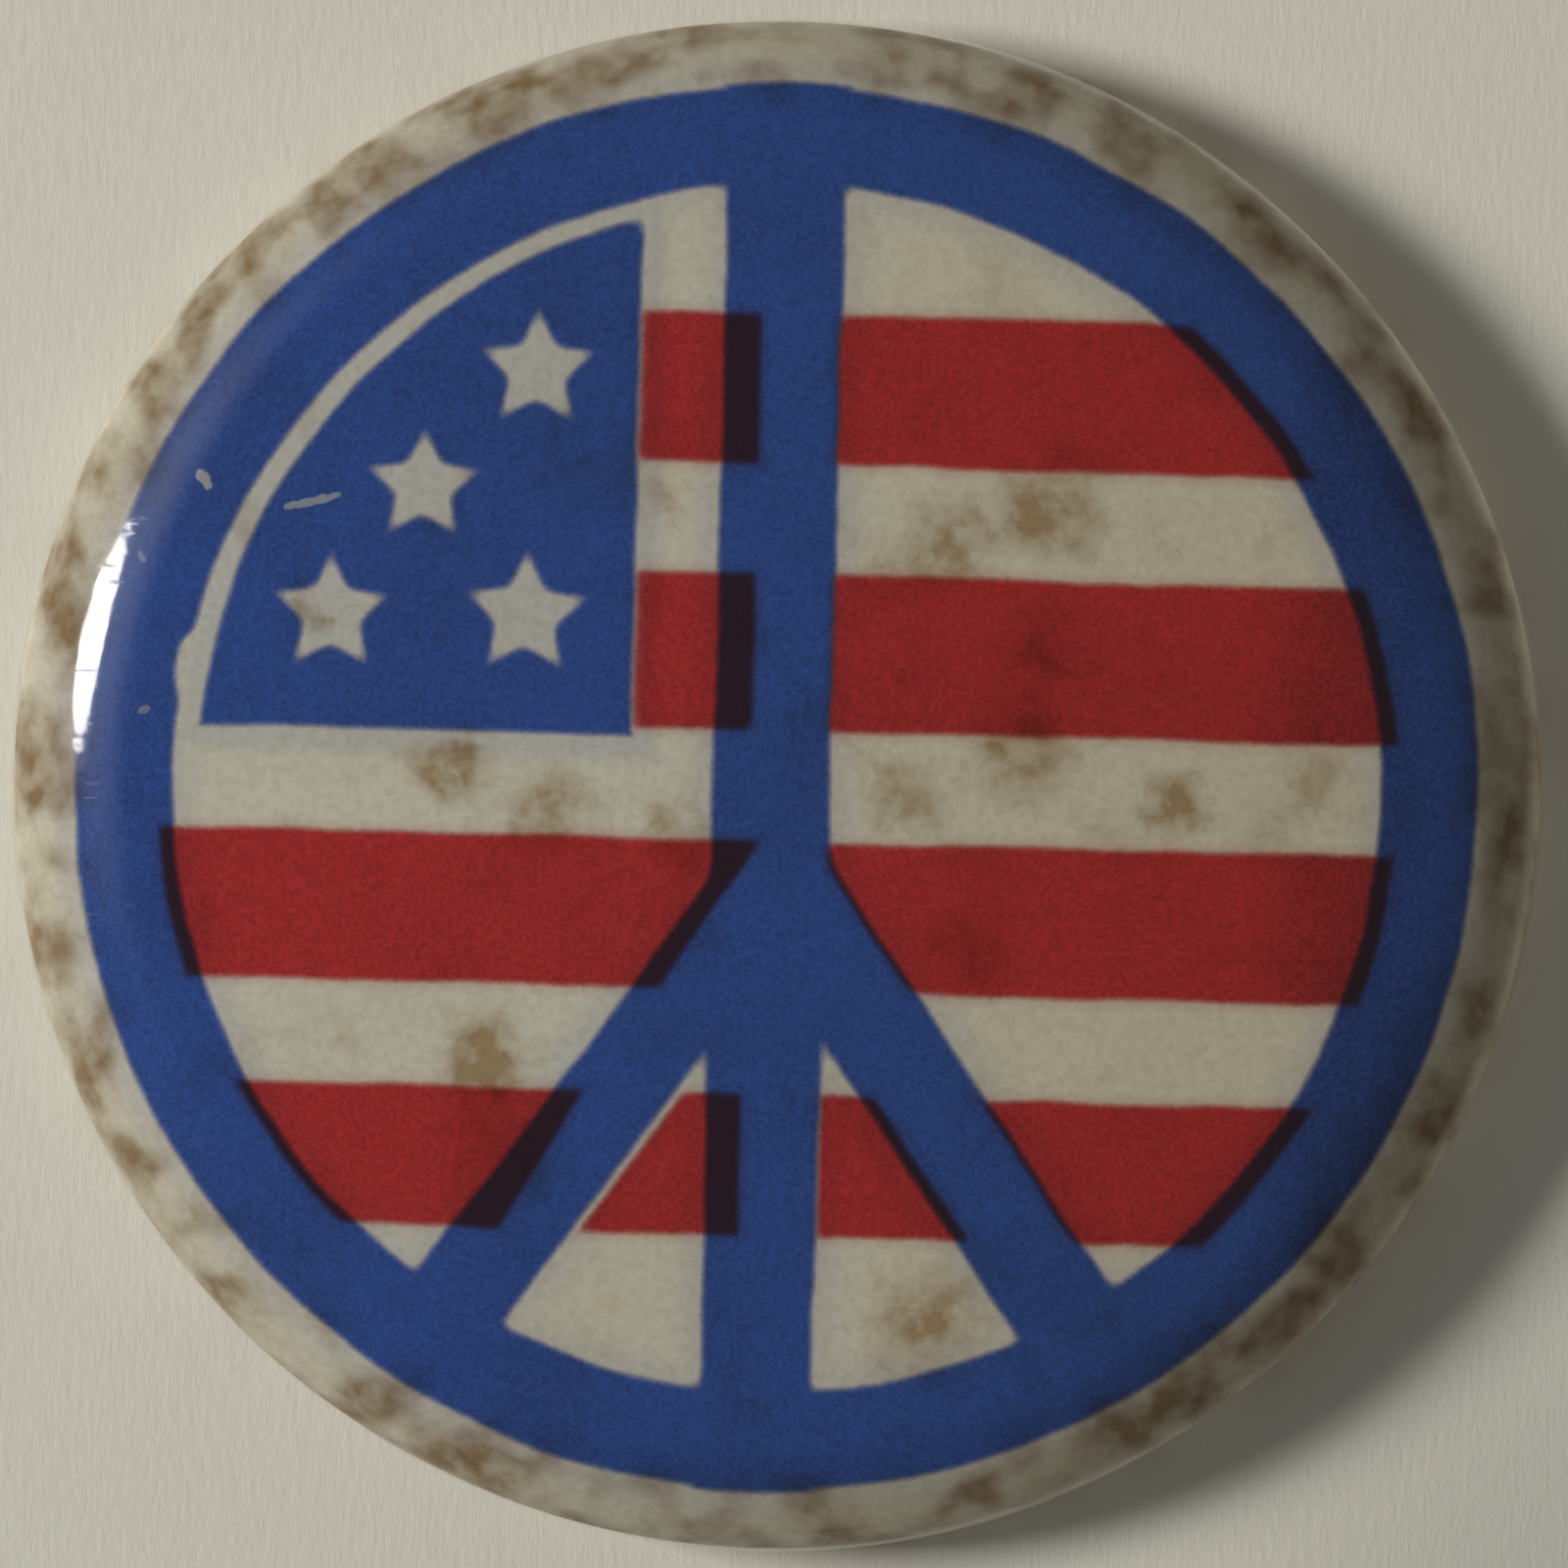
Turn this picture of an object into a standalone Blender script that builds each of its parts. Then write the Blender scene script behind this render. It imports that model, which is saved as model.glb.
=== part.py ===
"""Pinback button badge, one and a half inches across.

A domed tinplate shell carries a printed paper disc and a clear film, both wrapped round
its curled rim.  A pressed collet ring grips their edges from behind, and a D-shaped spring
wire, seated in the collet, forms the pin and its safety hook.

Everything is modelled lying on its back: local +Z is the way the face looks and local +Y
is the top of the badge.  One empty then stands the badge upright, with its face towards -Y.
"""
import math

import bpy
from mathutils import Vector
from mathutils.geometry import interpolate_bezier

MM = 0.001

# The domed front and its layers, from the outside in
BADGE_DIAMETER = 38.1 * MM
CROWN_SLOPE = math.radians(4.5)  # tilt of the face where the dome meets the shoulder
SHOULDER_TOP_RADIUS = 4.3 * MM  # the shoulder is two arcs, rounder towards the side
SHOULDER_SIDE_RADIUS = 1.4 * MM
SHOULDER_CHANGE = math.radians(45.0)  # tilt where one arc runs into the other
WALL_HEIGHT = 0.7 * MM  # the upright band between shoulder and curl
CURL_RADIUS = 1.1 * MM  # outside radius of the rim where it turns in behind
CURL_CLEARANCE = 0.1 * MM  # the curl stays this far in front of the collet's back face
FILM_THICKNESS = 0.16 * MM
PAPER_THICKNESS = 0.14 * MM
TINPLATE_THICKNESS = 0.30 * MM
LAYER_GAP = 0.04 * MM

# How far in from the back each layer's turned-in edge reaches
TINPLATE_EDGE = 1.7 * MM
PAPER_EDGE = 1.95 * MM
FILM_EDGE = 2.2 * MM

# The collet: a channel pressed into the turned-in rim, open towards the face
COLLET_THICKNESS = 0.30 * MM
COLLET_FIT = 0.05 * MM
COLLET_WALL_TOP = 2.6 * MM
COLLET_CORNER_RADIUS = 0.5 * MM
COLLET_LIP_RADIUS = 14.4 * MM
COLLET_LIP_TOP = 0.7 * MM

# The spring wire
WIRE_DIAMETER = 0.8 * MM
RING_RADIUS = 15.95 * MM
RING_HEIGHT = 0.8 * MM  # centre of the wire above the collet's back face
PIN_HEIGHT = 1.7 * MM
PIN_ABOVE_CENTRE = 4.0 * MM
BEND_RADIUS = 1.7 * MM
BEND_START_HEIGHT = 1.2 * MM
BEND_RAMP = math.radians(25.0)  # the ring climbs towards the bend over this much of a turn
HINGE_GAP = 0.3 * MM  # left between ring and needle, where the wire flexes
HOOK_CENTRE_X = 12.2 * MM
HOOK_RADIUS = 1.25 * MM
HOOK_SWEEP_START = math.radians(90.0)
HOOK_SWEEP_END = math.radians(265.0)
HOOK_STEM_ANGLE = math.radians(6.0)  # where the ring leaves the collet for the hook
HOOK_STEM_REACH = 3.5 * MM
HOOK_TURN_REACH = 2.8 * MM
NEEDLE_TIP_X = 13.5 * MM
POINT_LENGTH = 3.0 * MM
POINT_RADIUS = 0.12  # of the wire's own radius, at the very tip

# Fineness
TURN_STEPS = 48
DOME_STEPS = 7
SHOULDER_STEPS = 4  # in each of its two arcs
CURL_STEPS = 6
CORNER_STEPS = 3
RING_STEP = math.radians(5.0)
BEND_STEPS = 6
HOOK_STEPS = 10

# Worked out from the above
BADGE_RADIUS = BADGE_DIAMETER / 2
CURL_CENTRE_Z = CURL_CLEARANCE + CURL_RADIUS
SIDE_ARC_R = BADGE_RADIUS - SHOULDER_SIDE_RADIUS
SIDE_ARC_Z = CURL_CENTRE_Z + WALL_HEIGHT
ARC_STEP = SHOULDER_SIDE_RADIUS - SHOULDER_TOP_RADIUS
TOP_ARC_R = SIDE_ARC_R + ARC_STEP * math.sin(SHOULDER_CHANGE)
TOP_ARC_Z = SIDE_ARC_Z + ARC_STEP * math.cos(SHOULDER_CHANGE)
SHOULDER_TOP_R = TOP_ARC_R + SHOULDER_TOP_RADIUS * math.sin(CROWN_SLOPE)
SHOULDER_TOP_Z = TOP_ARC_Z + SHOULDER_TOP_RADIUS * math.cos(CROWN_SLOPE)
DOME_RADIUS = SHOULDER_TOP_R / math.sin(CROWN_SLOPE)
DOME_CENTRE_Z = SHOULDER_TOP_Z - DOME_RADIUS * math.cos(CROWN_SLOPE)
BADGE_DEPTH = DOME_CENTRE_Z + DOME_RADIUS
PAPER_DEPTH = FILM_THICKNESS + LAYER_GAP
TINPLATE_DEPTH = PAPER_DEPTH + PAPER_THICKNESS + LAYER_GAP
COLLET_RADIUS = BADGE_RADIUS - 2 * CURL_RADIUS - COLLET_FIT
BEND_CENTRE_DISTANCE = RING_RADIUS - BEND_RADIUS
BEND_CENTRE_Y = PIN_ABOVE_CENTRE - BEND_RADIUS
BEND_LEAN = math.asin(BEND_CENTRE_Y / BEND_CENTRE_DISTANCE)
BEND_CENTRE_X = -BEND_CENTRE_DISTANCE * math.cos(BEND_LEAN)
RING_START_ANGLE = math.pi - BEND_LEAN
RING_END_ANGLE = 2 * math.pi + HOOK_STEM_ANGLE
HINGE_POINT = Vector((BEND_CENTRE_X, PIN_ABOVE_CENTRE, PIN_HEIGHT))
HOOK_CENTRE = Vector((HOOK_CENTRE_X, PIN_ABOVE_CENTRE, PIN_HEIGHT))


def clear_scene():
    for item in list(bpy.data.objects):
        bpy.data.objects.remove(item, do_unlink=True)


def make_material(name, colour, roughness, metallic, alpha=1.0):
    material = bpy.data.materials.new(name)
    material.use_nodes = True
    shader = material.node_tree.nodes["Principled BSDF"]
    shader.inputs["Base Color"].default_value = (*colour, 1.0)
    shader.inputs["Roughness"].default_value = roughness
    shader.inputs["Metallic"].default_value = metallic
    shader.inputs["Alpha"].default_value = alpha
    return material


def arc(centre_r, centre_z, radius, start, end, steps):
    """Points on an arc in the (r, z) plane; the angle is the surface's tilt from face-on."""
    points = []
    for step in range(steps + 1):
        tilt = start + (end - start) * step / steps
        points.append((centre_r + radius * math.sin(tilt), centre_z + radius * math.cos(tilt)))
    return points


def layer_profile(depth, edge_z):
    """Outer side of one wrapped layer, `depth` under the film's surface, crown to edge."""
    dome = arc(0.0, DOME_CENTRE_Z, DOME_RADIUS - depth, 0.0, CROWN_SLOPE, DOME_STEPS)
    shoulder = arc(
        TOP_ARC_R, TOP_ARC_Z, SHOULDER_TOP_RADIUS - depth,
        CROWN_SLOPE, SHOULDER_CHANGE, SHOULDER_STEPS,
    )
    side = arc(
        SIDE_ARC_R, SIDE_ARC_Z, SHOULDER_SIDE_RADIUS - depth,
        SHOULDER_CHANGE, math.pi / 2, SHOULDER_STEPS,
    )
    curl = arc(
        BADGE_RADIUS - CURL_RADIUS, CURL_CENTRE_Z, CURL_RADIUS - depth,
        math.pi / 2, 3 * math.pi / 2, CURL_STEPS,
    )
    edge_r = curl[-1][0]
    return dome + shoulder[1:] + side[1:] + curl + [(edge_r, edge_z)]


def collet_profile():
    """Outer side of the collet: down its wall, across the flat back, up the inner lip."""
    corner = COLLET_CORNER_RADIUS
    outer_corner = arc(
        COLLET_RADIUS - corner, corner, corner, math.pi / 2, math.pi, CORNER_STEPS
    )
    inner_corner = arc(
        COLLET_LIP_RADIUS + corner, corner, corner, math.pi, 3 * math.pi / 2, CORNER_STEPS
    )
    wall_top = (COLLET_RADIUS, COLLET_WALL_TOP)
    lip_top = (COLLET_LIP_RADIUS, COLLET_LIP_TOP)
    return [wall_top] + outer_corner + inner_corner + [lip_top]


def turned_sheet(name, profile, thickness, material, collection, parent):
    """A sheet spun round the badge's axis; its thickness goes inwards from the profile."""
    mesh = bpy.data.meshes.new(name)
    edges = [(index, index + 1) for index in range(len(profile) - 1)]
    mesh.from_pydata([(r, 0.0, z) for r, z in profile], edges, [])
    sheet = bpy.data.objects.new(name, mesh)
    collection.objects.link(sheet)
    sheet.parent = parent
    mesh.materials.append(material)

    screw = sheet.modifiers.new("turn", "SCREW")
    screw.axis = "Z"
    screw.angle = 2 * math.pi
    screw.screw_offset = 0.0
    screw.steps = TURN_STEPS
    screw.render_steps = TURN_STEPS
    screw.use_merge_vertices = True
    screw.merge_threshold = 0.00001
    screw.use_smooth_shade = True

    solidify = sheet.modifiers.new("sheet thickness", "SOLIDIFY")
    solidify.thickness = thickness
    solidify.offset = -1.0
    solidify.use_even_offset = True
    return sheet


def bent_wire(name, points, radii, origin, material, collection, parent):
    """A round wire along local points; the object's origin is placed at `origin`."""
    curve = bpy.data.curves.new(name, "CURVE")
    curve.dimensions = "3D"
    curve.bevel_depth = WIRE_DIAMETER / 2
    curve.bevel_resolution = 2
    curve.use_fill_caps = True
    spline = curve.splines.new("POLY")
    spline.points.add(len(points) - 1)
    for spline_point, point, radius in zip(spline.points, points, radii):
        spline_point.co = (*(point - origin), 1.0)
        spline_point.radius = radius
    spline.use_smooth = True
    curve.materials.append(material)
    wire = bpy.data.objects.new(name, curve)
    wire.location = origin
    collection.objects.link(wire)
    wire.parent = parent
    return wire


def bend_points():
    """From the flex gap back round the bend to the ring, climbing down as it goes."""
    gap_angle = HINGE_GAP / 2 / BEND_RADIUS
    start = math.pi / 2 + gap_angle
    points = []
    for step in range(BEND_STEPS):
        share = step / BEND_STEPS
        angle = start + (RING_START_ANGLE - start) * share
        height = PIN_HEIGHT + (BEND_START_HEIGHT - PIN_HEIGHT) * share
        x = BEND_CENTRE_X + BEND_RADIUS * math.cos(angle)
        y = BEND_CENTRE_Y + BEND_RADIUS * math.sin(angle)
        points.append(Vector((x, y, height)))
    return points


def ring_points():
    """The seated part of the ring, past the bottom of the badge to the hook's side."""
    steps = round((RING_END_ANGLE - RING_START_ANGLE) / RING_STEP)
    points = []
    for step in range(steps):
        turned = (RING_END_ANGLE - RING_START_ANGLE) * step / steps
        climb = max(0.0, 1.0 - turned / BEND_RAMP)
        climb = climb * climb * (3.0 - 2.0 * climb)
        height = RING_HEIGHT + (BEND_START_HEIGHT - RING_HEIGHT) * climb
        angle = RING_START_ANGLE + turned
        points.append(
            Vector((RING_RADIUS * math.cos(angle), RING_RADIUS * math.sin(angle), height))
        )
    return points


def hook_arc_point(sweep):
    """A point of the C-shaped hook, which wraps the needle in a plane across it."""
    return HOOK_CENTRE + HOOK_RADIUS * Vector((0.0, math.cos(sweep), math.sin(sweep)))


def hook_points():
    """Out of the collet, over its lip, in front of the needle and round to its back."""
    stem_start = Vector((
        RING_RADIUS * math.cos(HOOK_STEM_ANGLE),
        RING_RADIUS * math.sin(HOOK_STEM_ANGLE),
        RING_HEIGHT,
    ))
    stem_heading = Vector((-math.sin(HOOK_STEM_ANGLE), math.cos(HOOK_STEM_ANGLE), 0.0))
    hook_start = hook_arc_point(HOOK_SWEEP_START)
    stem = interpolate_bezier(
        stem_start,
        stem_start + HOOK_STEM_REACH * stem_heading,
        hook_start + Vector((0.0, HOOK_TURN_REACH, 0.0)),
        hook_start,
        HOOK_STEPS,
    )
    hook = []
    for step in range(1, HOOK_STEPS + 1):
        sweep = HOOK_SWEEP_START + (HOOK_SWEEP_END - HOOK_SWEEP_START) * step / HOOK_STEPS
        hook.append(hook_arc_point(sweep))
    return list(stem) + hook


def build_badge():
    clear_scene()
    parts = bpy.data.collections.new("button_badge")
    bpy.context.scene.collection.children.link(parts)

    stand = bpy.data.objects.new("badge_upright", None)
    stand.location = (0.0, BADGE_DEPTH / 2, 0.0)
    stand.rotation_euler = (math.pi / 2, 0.0, 0.0)
    parts.objects.link(stand)

    tinplate = make_material("tinplate", (0.50, 0.47, 0.42), 0.40, 1.0)
    paper = make_material("printed_paper", (0.66, 0.60, 0.49), 0.85, 0.0)
    film = make_material("clear_film", (0.93, 0.90, 0.82), 0.12, 0.0, alpha=0.18)
    plated = make_material("plated_steel", (0.58, 0.56, 0.52), 0.30, 1.0)
    spring = make_material("spring_steel", (0.46, 0.45, 0.43), 0.28, 1.0)

    turned_sheet(
        "clear_film", layer_profile(0.0, FILM_EDGE), FILM_THICKNESS, film, parts, stand
    )
    turned_sheet(
        "printed_paper", layer_profile(PAPER_DEPTH, PAPER_EDGE), PAPER_THICKNESS,
        paper, parts, stand,
    )
    turned_sheet(
        "front_shell", layer_profile(TINPLATE_DEPTH, TINPLATE_EDGE), TINPLATE_THICKNESS,
        tinplate, parts, stand,
    )
    turned_sheet(
        "collet_ring", collet_profile(), COLLET_THICKNESS, plated, parts, stand
    )

    ring = bend_points() + ring_points() + hook_points()
    bent_wire(
        "pin_wire_ring", ring, [1.0] * len(ring), Vector((0.0, 0.0, 0.0)),
        spring, parts, stand,
    )
    needle = [
        HINGE_POINT + Vector((HINGE_GAP / 2, 0.0, 0.0)),
        Vector((NEEDLE_TIP_X - POINT_LENGTH, PIN_ABOVE_CENTRE, PIN_HEIGHT)),
        Vector((NEEDLE_TIP_X, PIN_ABOVE_CENTRE, PIN_HEIGHT)),
    ]
    bent_wire(
        "pin_needle", needle, [1.0, 1.0, POINT_RADIUS], HINGE_POINT, spring, parts, stand
    )


build_badge()
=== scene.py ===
"""Looks of the pinback button badge: printed paper under clear film, tinplate, collet and wire.

Shapes are worked out in millimetres with the badge lying on its back: r and z, or x, y and z,
where z is the height above the collet's flat back.  `upright` turns them into the frame.
Materials work in millimetres too, from each object's own coordinates.
"""
import math

import bmesh
import bpy
import numpy as np
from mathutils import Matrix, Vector, noise
from mathutils.geometry import interpolate_bezier


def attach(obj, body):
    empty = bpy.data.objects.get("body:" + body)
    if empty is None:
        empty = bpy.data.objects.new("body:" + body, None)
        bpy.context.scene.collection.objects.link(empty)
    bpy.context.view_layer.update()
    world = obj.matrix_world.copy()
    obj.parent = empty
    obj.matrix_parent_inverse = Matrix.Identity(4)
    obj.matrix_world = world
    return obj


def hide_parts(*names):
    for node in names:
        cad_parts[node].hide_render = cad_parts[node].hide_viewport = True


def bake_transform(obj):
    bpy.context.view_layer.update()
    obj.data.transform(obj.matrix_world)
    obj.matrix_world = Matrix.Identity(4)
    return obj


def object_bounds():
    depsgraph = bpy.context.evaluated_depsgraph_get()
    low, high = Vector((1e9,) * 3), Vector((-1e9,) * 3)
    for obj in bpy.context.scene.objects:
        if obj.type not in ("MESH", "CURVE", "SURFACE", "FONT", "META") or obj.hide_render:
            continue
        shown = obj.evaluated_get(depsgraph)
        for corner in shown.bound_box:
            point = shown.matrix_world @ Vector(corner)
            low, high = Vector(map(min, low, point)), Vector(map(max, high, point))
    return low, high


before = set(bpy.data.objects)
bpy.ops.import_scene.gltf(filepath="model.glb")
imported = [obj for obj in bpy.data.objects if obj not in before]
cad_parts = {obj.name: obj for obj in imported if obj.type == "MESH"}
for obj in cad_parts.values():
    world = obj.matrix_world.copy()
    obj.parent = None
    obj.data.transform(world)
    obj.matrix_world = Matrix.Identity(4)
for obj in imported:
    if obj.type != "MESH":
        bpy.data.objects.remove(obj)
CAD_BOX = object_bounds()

MM = 0.001
HALF_DEPTH = (CAD_BOX[1].y - CAD_BOX[0].y) / 2 / MM
BADGE_RADIUS = (CAD_BOX[1].x - CAD_BOX[0].x) / 2 / MM

# Section of the wrapped layers
CROWN_SLOPE = math.radians(4.5)
SHOULDER_TOP_RADIUS = 4.3
SHOULDER_SIDE_RADIUS = 1.4
SHOULDER_CHANGE = math.radians(45.0)
CURL_RADIUS = 1.1
CURL_CENTRE_Z = 1.2
SIDE_ARC_Z = 1.9
SIDE_ARC_R = BADGE_RADIUS - SHOULDER_SIDE_RADIUS
ARC_STEP = SHOULDER_SIDE_RADIUS - SHOULDER_TOP_RADIUS
TOP_ARC_R = SIDE_ARC_R + ARC_STEP * math.sin(SHOULDER_CHANGE)
TOP_ARC_Z = SIDE_ARC_Z + ARC_STEP * math.cos(SHOULDER_CHANGE)
DOME_RADIUS = (TOP_ARC_R + SHOULDER_TOP_RADIUS * math.sin(CROWN_SLOPE)) / math.sin(CROWN_SLOPE)
DOME_CENTRE_Z = 2 * HALF_DEPTH - DOME_RADIUS

# Each layer: depth of its outer side under the film's face, thickness, height of its cut edge
FILM_LAYER = (0.0, 0.07, 2.2)
PAPER_LAYER = (0.08, 0.26, 1.95)
TINPLATE_LAYER = (0.38, 0.30, 1.7)

# The collet
COLLET_RADIUS = 16.8
COLLET_THICKNESS = 0.30
COLLET_WALL_TOP = 2.6
COLLET_CORNER = 0.5
COLLET_LIP_RADIUS = 14.4
COLLET_LIP_TOP = 0.7

# The wire
WIRE_RADIUS = 0.4
RING_RADIUS = 15.95
RING_HEIGHT = 0.8
PIN_HEIGHT = 1.7
PIN_ABOVE_CENTRE = 4.0
BEND_RADIUS = 1.7
BEND_START_HEIGHT = 1.2
BEND_RAMP = math.radians(25.0)
BEND_CENTRE_Y = PIN_ABOVE_CENTRE - BEND_RADIUS
BEND_LEAN = math.asin(BEND_CENTRE_Y / (RING_RADIUS - BEND_RADIUS))
BEND_CENTRE_X = -(RING_RADIUS - BEND_RADIUS) * math.cos(BEND_LEAN)
RING_START_ANGLE = math.pi - BEND_LEAN
WIRE_SPLIT_ANGLE = math.radians(14.0)  # past the ring's start, hidden in the collet
HOOK_STEM_ANGLE = math.radians(6.0)
HOOK_STEM_REACH = 3.5
HOOK_TURN_REACH = 2.8
HOOK_CENTRE = Vector((12.2, PIN_ABOVE_CENTRE, PIN_HEIGHT))
HOOK_RADIUS = 1.25
HOOK_SWEEP = (math.radians(90.0), math.radians(265.0))
NEEDLE_TIP_X = 13.5
POINT_LENGTH = 3.0

# Fineness
TURN_STEPS = 256
WIRE_SIDES = 16

PLEATS = 74.0  # in the paper and film where they are gathered behind the rim
NEEDLE_BOW = 0.05


def upright(x, y, z):
    """From lying on its back, in millimetres, to standing in the frame, in metres."""
    return (x * MM, (HALF_DEPTH - z) * MM, y * MM)


# ---------------------------------------------------------------- turned sheets

def arc(centre_r, centre_z, radius, start, end, steps):
    """Points (r, z, tilt) on an arc; the tilt is the surface's lean from facing forwards."""
    points = []
    for step in range(steps + 1):
        tilt = start + (end - start) * step / steps
        r, z = centre_r + radius * math.sin(tilt), centre_z + radius * math.cos(tilt)
        points.append((r, z, tilt))
    return points


def layer_side(depth, edge_z):
    """One side of a wrapped layer, from the crown round the curl to its cut edge."""
    points = arc(0.0, DOME_CENTRE_Z, DOME_RADIUS - depth, 0.0, CROWN_SLOPE, 30)
    points += arc(
        TOP_ARC_R, TOP_ARC_Z, SHOULDER_TOP_RADIUS - depth, CROWN_SLOPE, SHOULDER_CHANGE, 12
    )[1:]
    points += arc(
        SIDE_ARC_R, SIDE_ARC_Z, SHOULDER_SIDE_RADIUS - depth, SHOULDER_CHANGE, math.pi / 2, 12
    )[1:]
    points += arc(
        BADGE_RADIUS - CURL_RADIUS, CURL_CENTRE_Z, CURL_RADIUS - depth,
        math.pi / 2, 3 * math.pi / 2, 20,
    )
    points.append((points[-1][0], edge_z, 3 * math.pi / 2))
    return points


def layer_chain(layer):
    depth, thickness, edge_z = layer
    outer = layer_side(depth, edge_z)
    inner = layer_side(depth + thickness, edge_z)
    return outer + inner[::-1]


def collet_chain():
    """A closed loop round the collet's section, with rolled edges on its lip and wall."""
    half = COLLET_THICKNESS / 2
    inner_corner = COLLET_CORNER - COLLET_THICKNESS
    right = math.pi / 2
    lip_middle = COLLET_LIP_RADIUS + half
    wall_middle = COLLET_RADIUS - half
    loop = arc(
        COLLET_RADIUS - COLLET_CORNER, COLLET_CORNER, COLLET_CORNER, right, 2 * right, 8
    )
    loop += arc(
        COLLET_LIP_RADIUS + COLLET_CORNER, COLLET_CORNER, COLLET_CORNER, 2 * right, 3 * right, 8
    )
    loop += arc(lip_middle, COLLET_LIP_TOP - half, half, 3 * right, 5 * right, 8)
    loop += [
        (r, z, tilt + 2 * right) for r, z, tilt in arc(
            COLLET_LIP_RADIUS + COLLET_CORNER, COLLET_CORNER, inner_corner,
            3 * right, 2 * right, 5,
        )
    ]
    loop += [
        (r, z, tilt + 2 * right) for r, z, tilt in arc(
            COLLET_RADIUS - COLLET_CORNER, COLLET_CORNER, inner_corner, 2 * right, right, 5
        )
    ]
    loop += arc(wall_middle, COLLET_WALL_TOP - half, half, -right, right, 8)
    return loop


def wrap_ripple(r, z, tilt, angle):
    """Unevenness of the wrapped layers: a gently uneven face and pleats behind the rim."""
    x, y = r * math.cos(angle), r * math.sin(angle)
    face = 0.012 * noise.noise(Vector((x * 0.16, y * 0.16, 3.7)))
    shoulder = min(1.0, max(0.0, (math.degrees(tilt) - 15.0) / 30.0))
    face += 0.007 * shoulder * noise.noise(Vector((x * 0.55, y * 0.55, 8.1)))
    face *= 1.0 - min(1.0, max(0.0, (math.degrees(tilt) - 80.0) / 25.0))
    turned_in = min(1.0, max(0.0, (math.degrees(tilt) - 100.0) / 50.0))
    gripped = min(1.0, max(0.0, (235.0 - math.degrees(tilt)) / 25.0))
    pleat = 0.5 + 0.5 * math.sin(PLEATS * angle + 5.0 * noise.noise(Vector((x * 0.2, y * 0.2, 0))))
    pleat *= 0.6 + 0.4 * noise.noise(Vector((x * 0.8, y * 0.8, 1.3)))
    return face - 0.012 * turned_in + 0.05 * turned_in * gripped * pleat


def collet_ripple(r, z, tilt, angle):
    """Slight unevenness of the pressed ring."""
    x, y = r * math.cos(angle), r * math.sin(angle)
    return -0.010 * (1.0 + noise.noise(Vector((x * 0.35, y * 0.35, z * 0.5))))


def no_ripple(r, z, tilt, angle):
    return 0.0


def make_object(name, vertices, faces, sharp_degrees=55.0):
    mesh = bpy.data.meshes.new(name)
    mesh.from_pydata(vertices, [], faces)
    work = bmesh.new()
    work.from_mesh(mesh)
    bmesh.ops.recalc_face_normals(work, faces=work.faces)
    work.to_mesh(mesh)
    work.free()
    mesh.shade_smooth()
    mesh.set_sharp_from_angle(angle=math.radians(sharp_degrees))
    item = bpy.data.objects.new(name, mesh)
    bpy.context.scene.collection.objects.link(item)
    return item


def turned(name, chain, closed, ripple):
    """A body of revolution about the badge's axis; a point on the axis becomes one vertex."""
    vertices = []
    rows = []
    for r, z, tilt in chain:
        if r < 1e-6:
            rows.append([len(vertices)])
            vertices.append(upright(0.0, 0.0, z + ripple(0.0, z, tilt, 0.0)))
            continue
        row = []
        for step in range(TURN_STEPS):
            angle = 2 * math.pi * step / TURN_STEPS
            out = ripple(r, z, tilt, angle)
            reach = r + out * math.sin(tilt)
            row.append(len(vertices))
            vertices.append(upright(
                reach * math.cos(angle), reach * math.sin(angle), z + out * math.cos(tilt)
            ))
        rows.append(row)
    pairs = list(zip(rows, rows[1:]))
    if closed:
        pairs.append((rows[-1], rows[0]))
    faces = []
    for first, second in pairs:
        for step in range(TURN_STEPS):
            after = (step + 1) % TURN_STEPS
            if len(first) == 1:
                faces.append((first[0], second[after], second[step]))
            elif len(second) == 1:
                faces.append((first[step], first[after], second[0]))
            else:
                faces.append((first[step], first[after], second[after], second[step]))
    return make_object(name, vertices, faces)


# ---------------------------------------------------------------- wire

def ring_point(angle):
    """The seated ring's centre line, climbing towards the bend near its start."""
    climb = max(0.0, 1.0 - (angle - RING_START_ANGLE) / BEND_RAMP)
    climb = climb * climb * (3.0 - 2.0 * climb)
    height = RING_HEIGHT + (BEND_START_HEIGHT - RING_HEIGHT) * climb
    return Vector((RING_RADIUS * math.cos(angle), RING_RADIUS * math.sin(angle), height))


def hook_point(sweep):
    return HOOK_CENTRE + HOOK_RADIUS * Vector((0.0, math.cos(sweep), math.sin(sweep)))


def ring_path():
    """From inside the collet, round the bottom of the badge, out to the hook."""
    start = RING_START_ANGLE + WIRE_SPLIT_ANGLE
    end = 2 * math.pi + HOOK_STEM_ANGLE
    points = [ring_point(start + (end - start) * step / 110) for step in range(110)]
    stem_start = ring_point(end)
    heading = Vector((-math.sin(end), math.cos(end), 0.0))
    hook_start = hook_point(HOOK_SWEEP[0])
    points += interpolate_bezier(
        stem_start, stem_start + HOOK_STEM_REACH * heading,
        hook_start + Vector((0.0, HOOK_TURN_REACH, 0.0)), hook_start, 26,
    )
    for step in range(1, 27):
        points.append(hook_point(HOOK_SWEEP[0] + (HOOK_SWEEP[1] - HOOK_SWEEP[0]) * step / 26))
    return points


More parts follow.
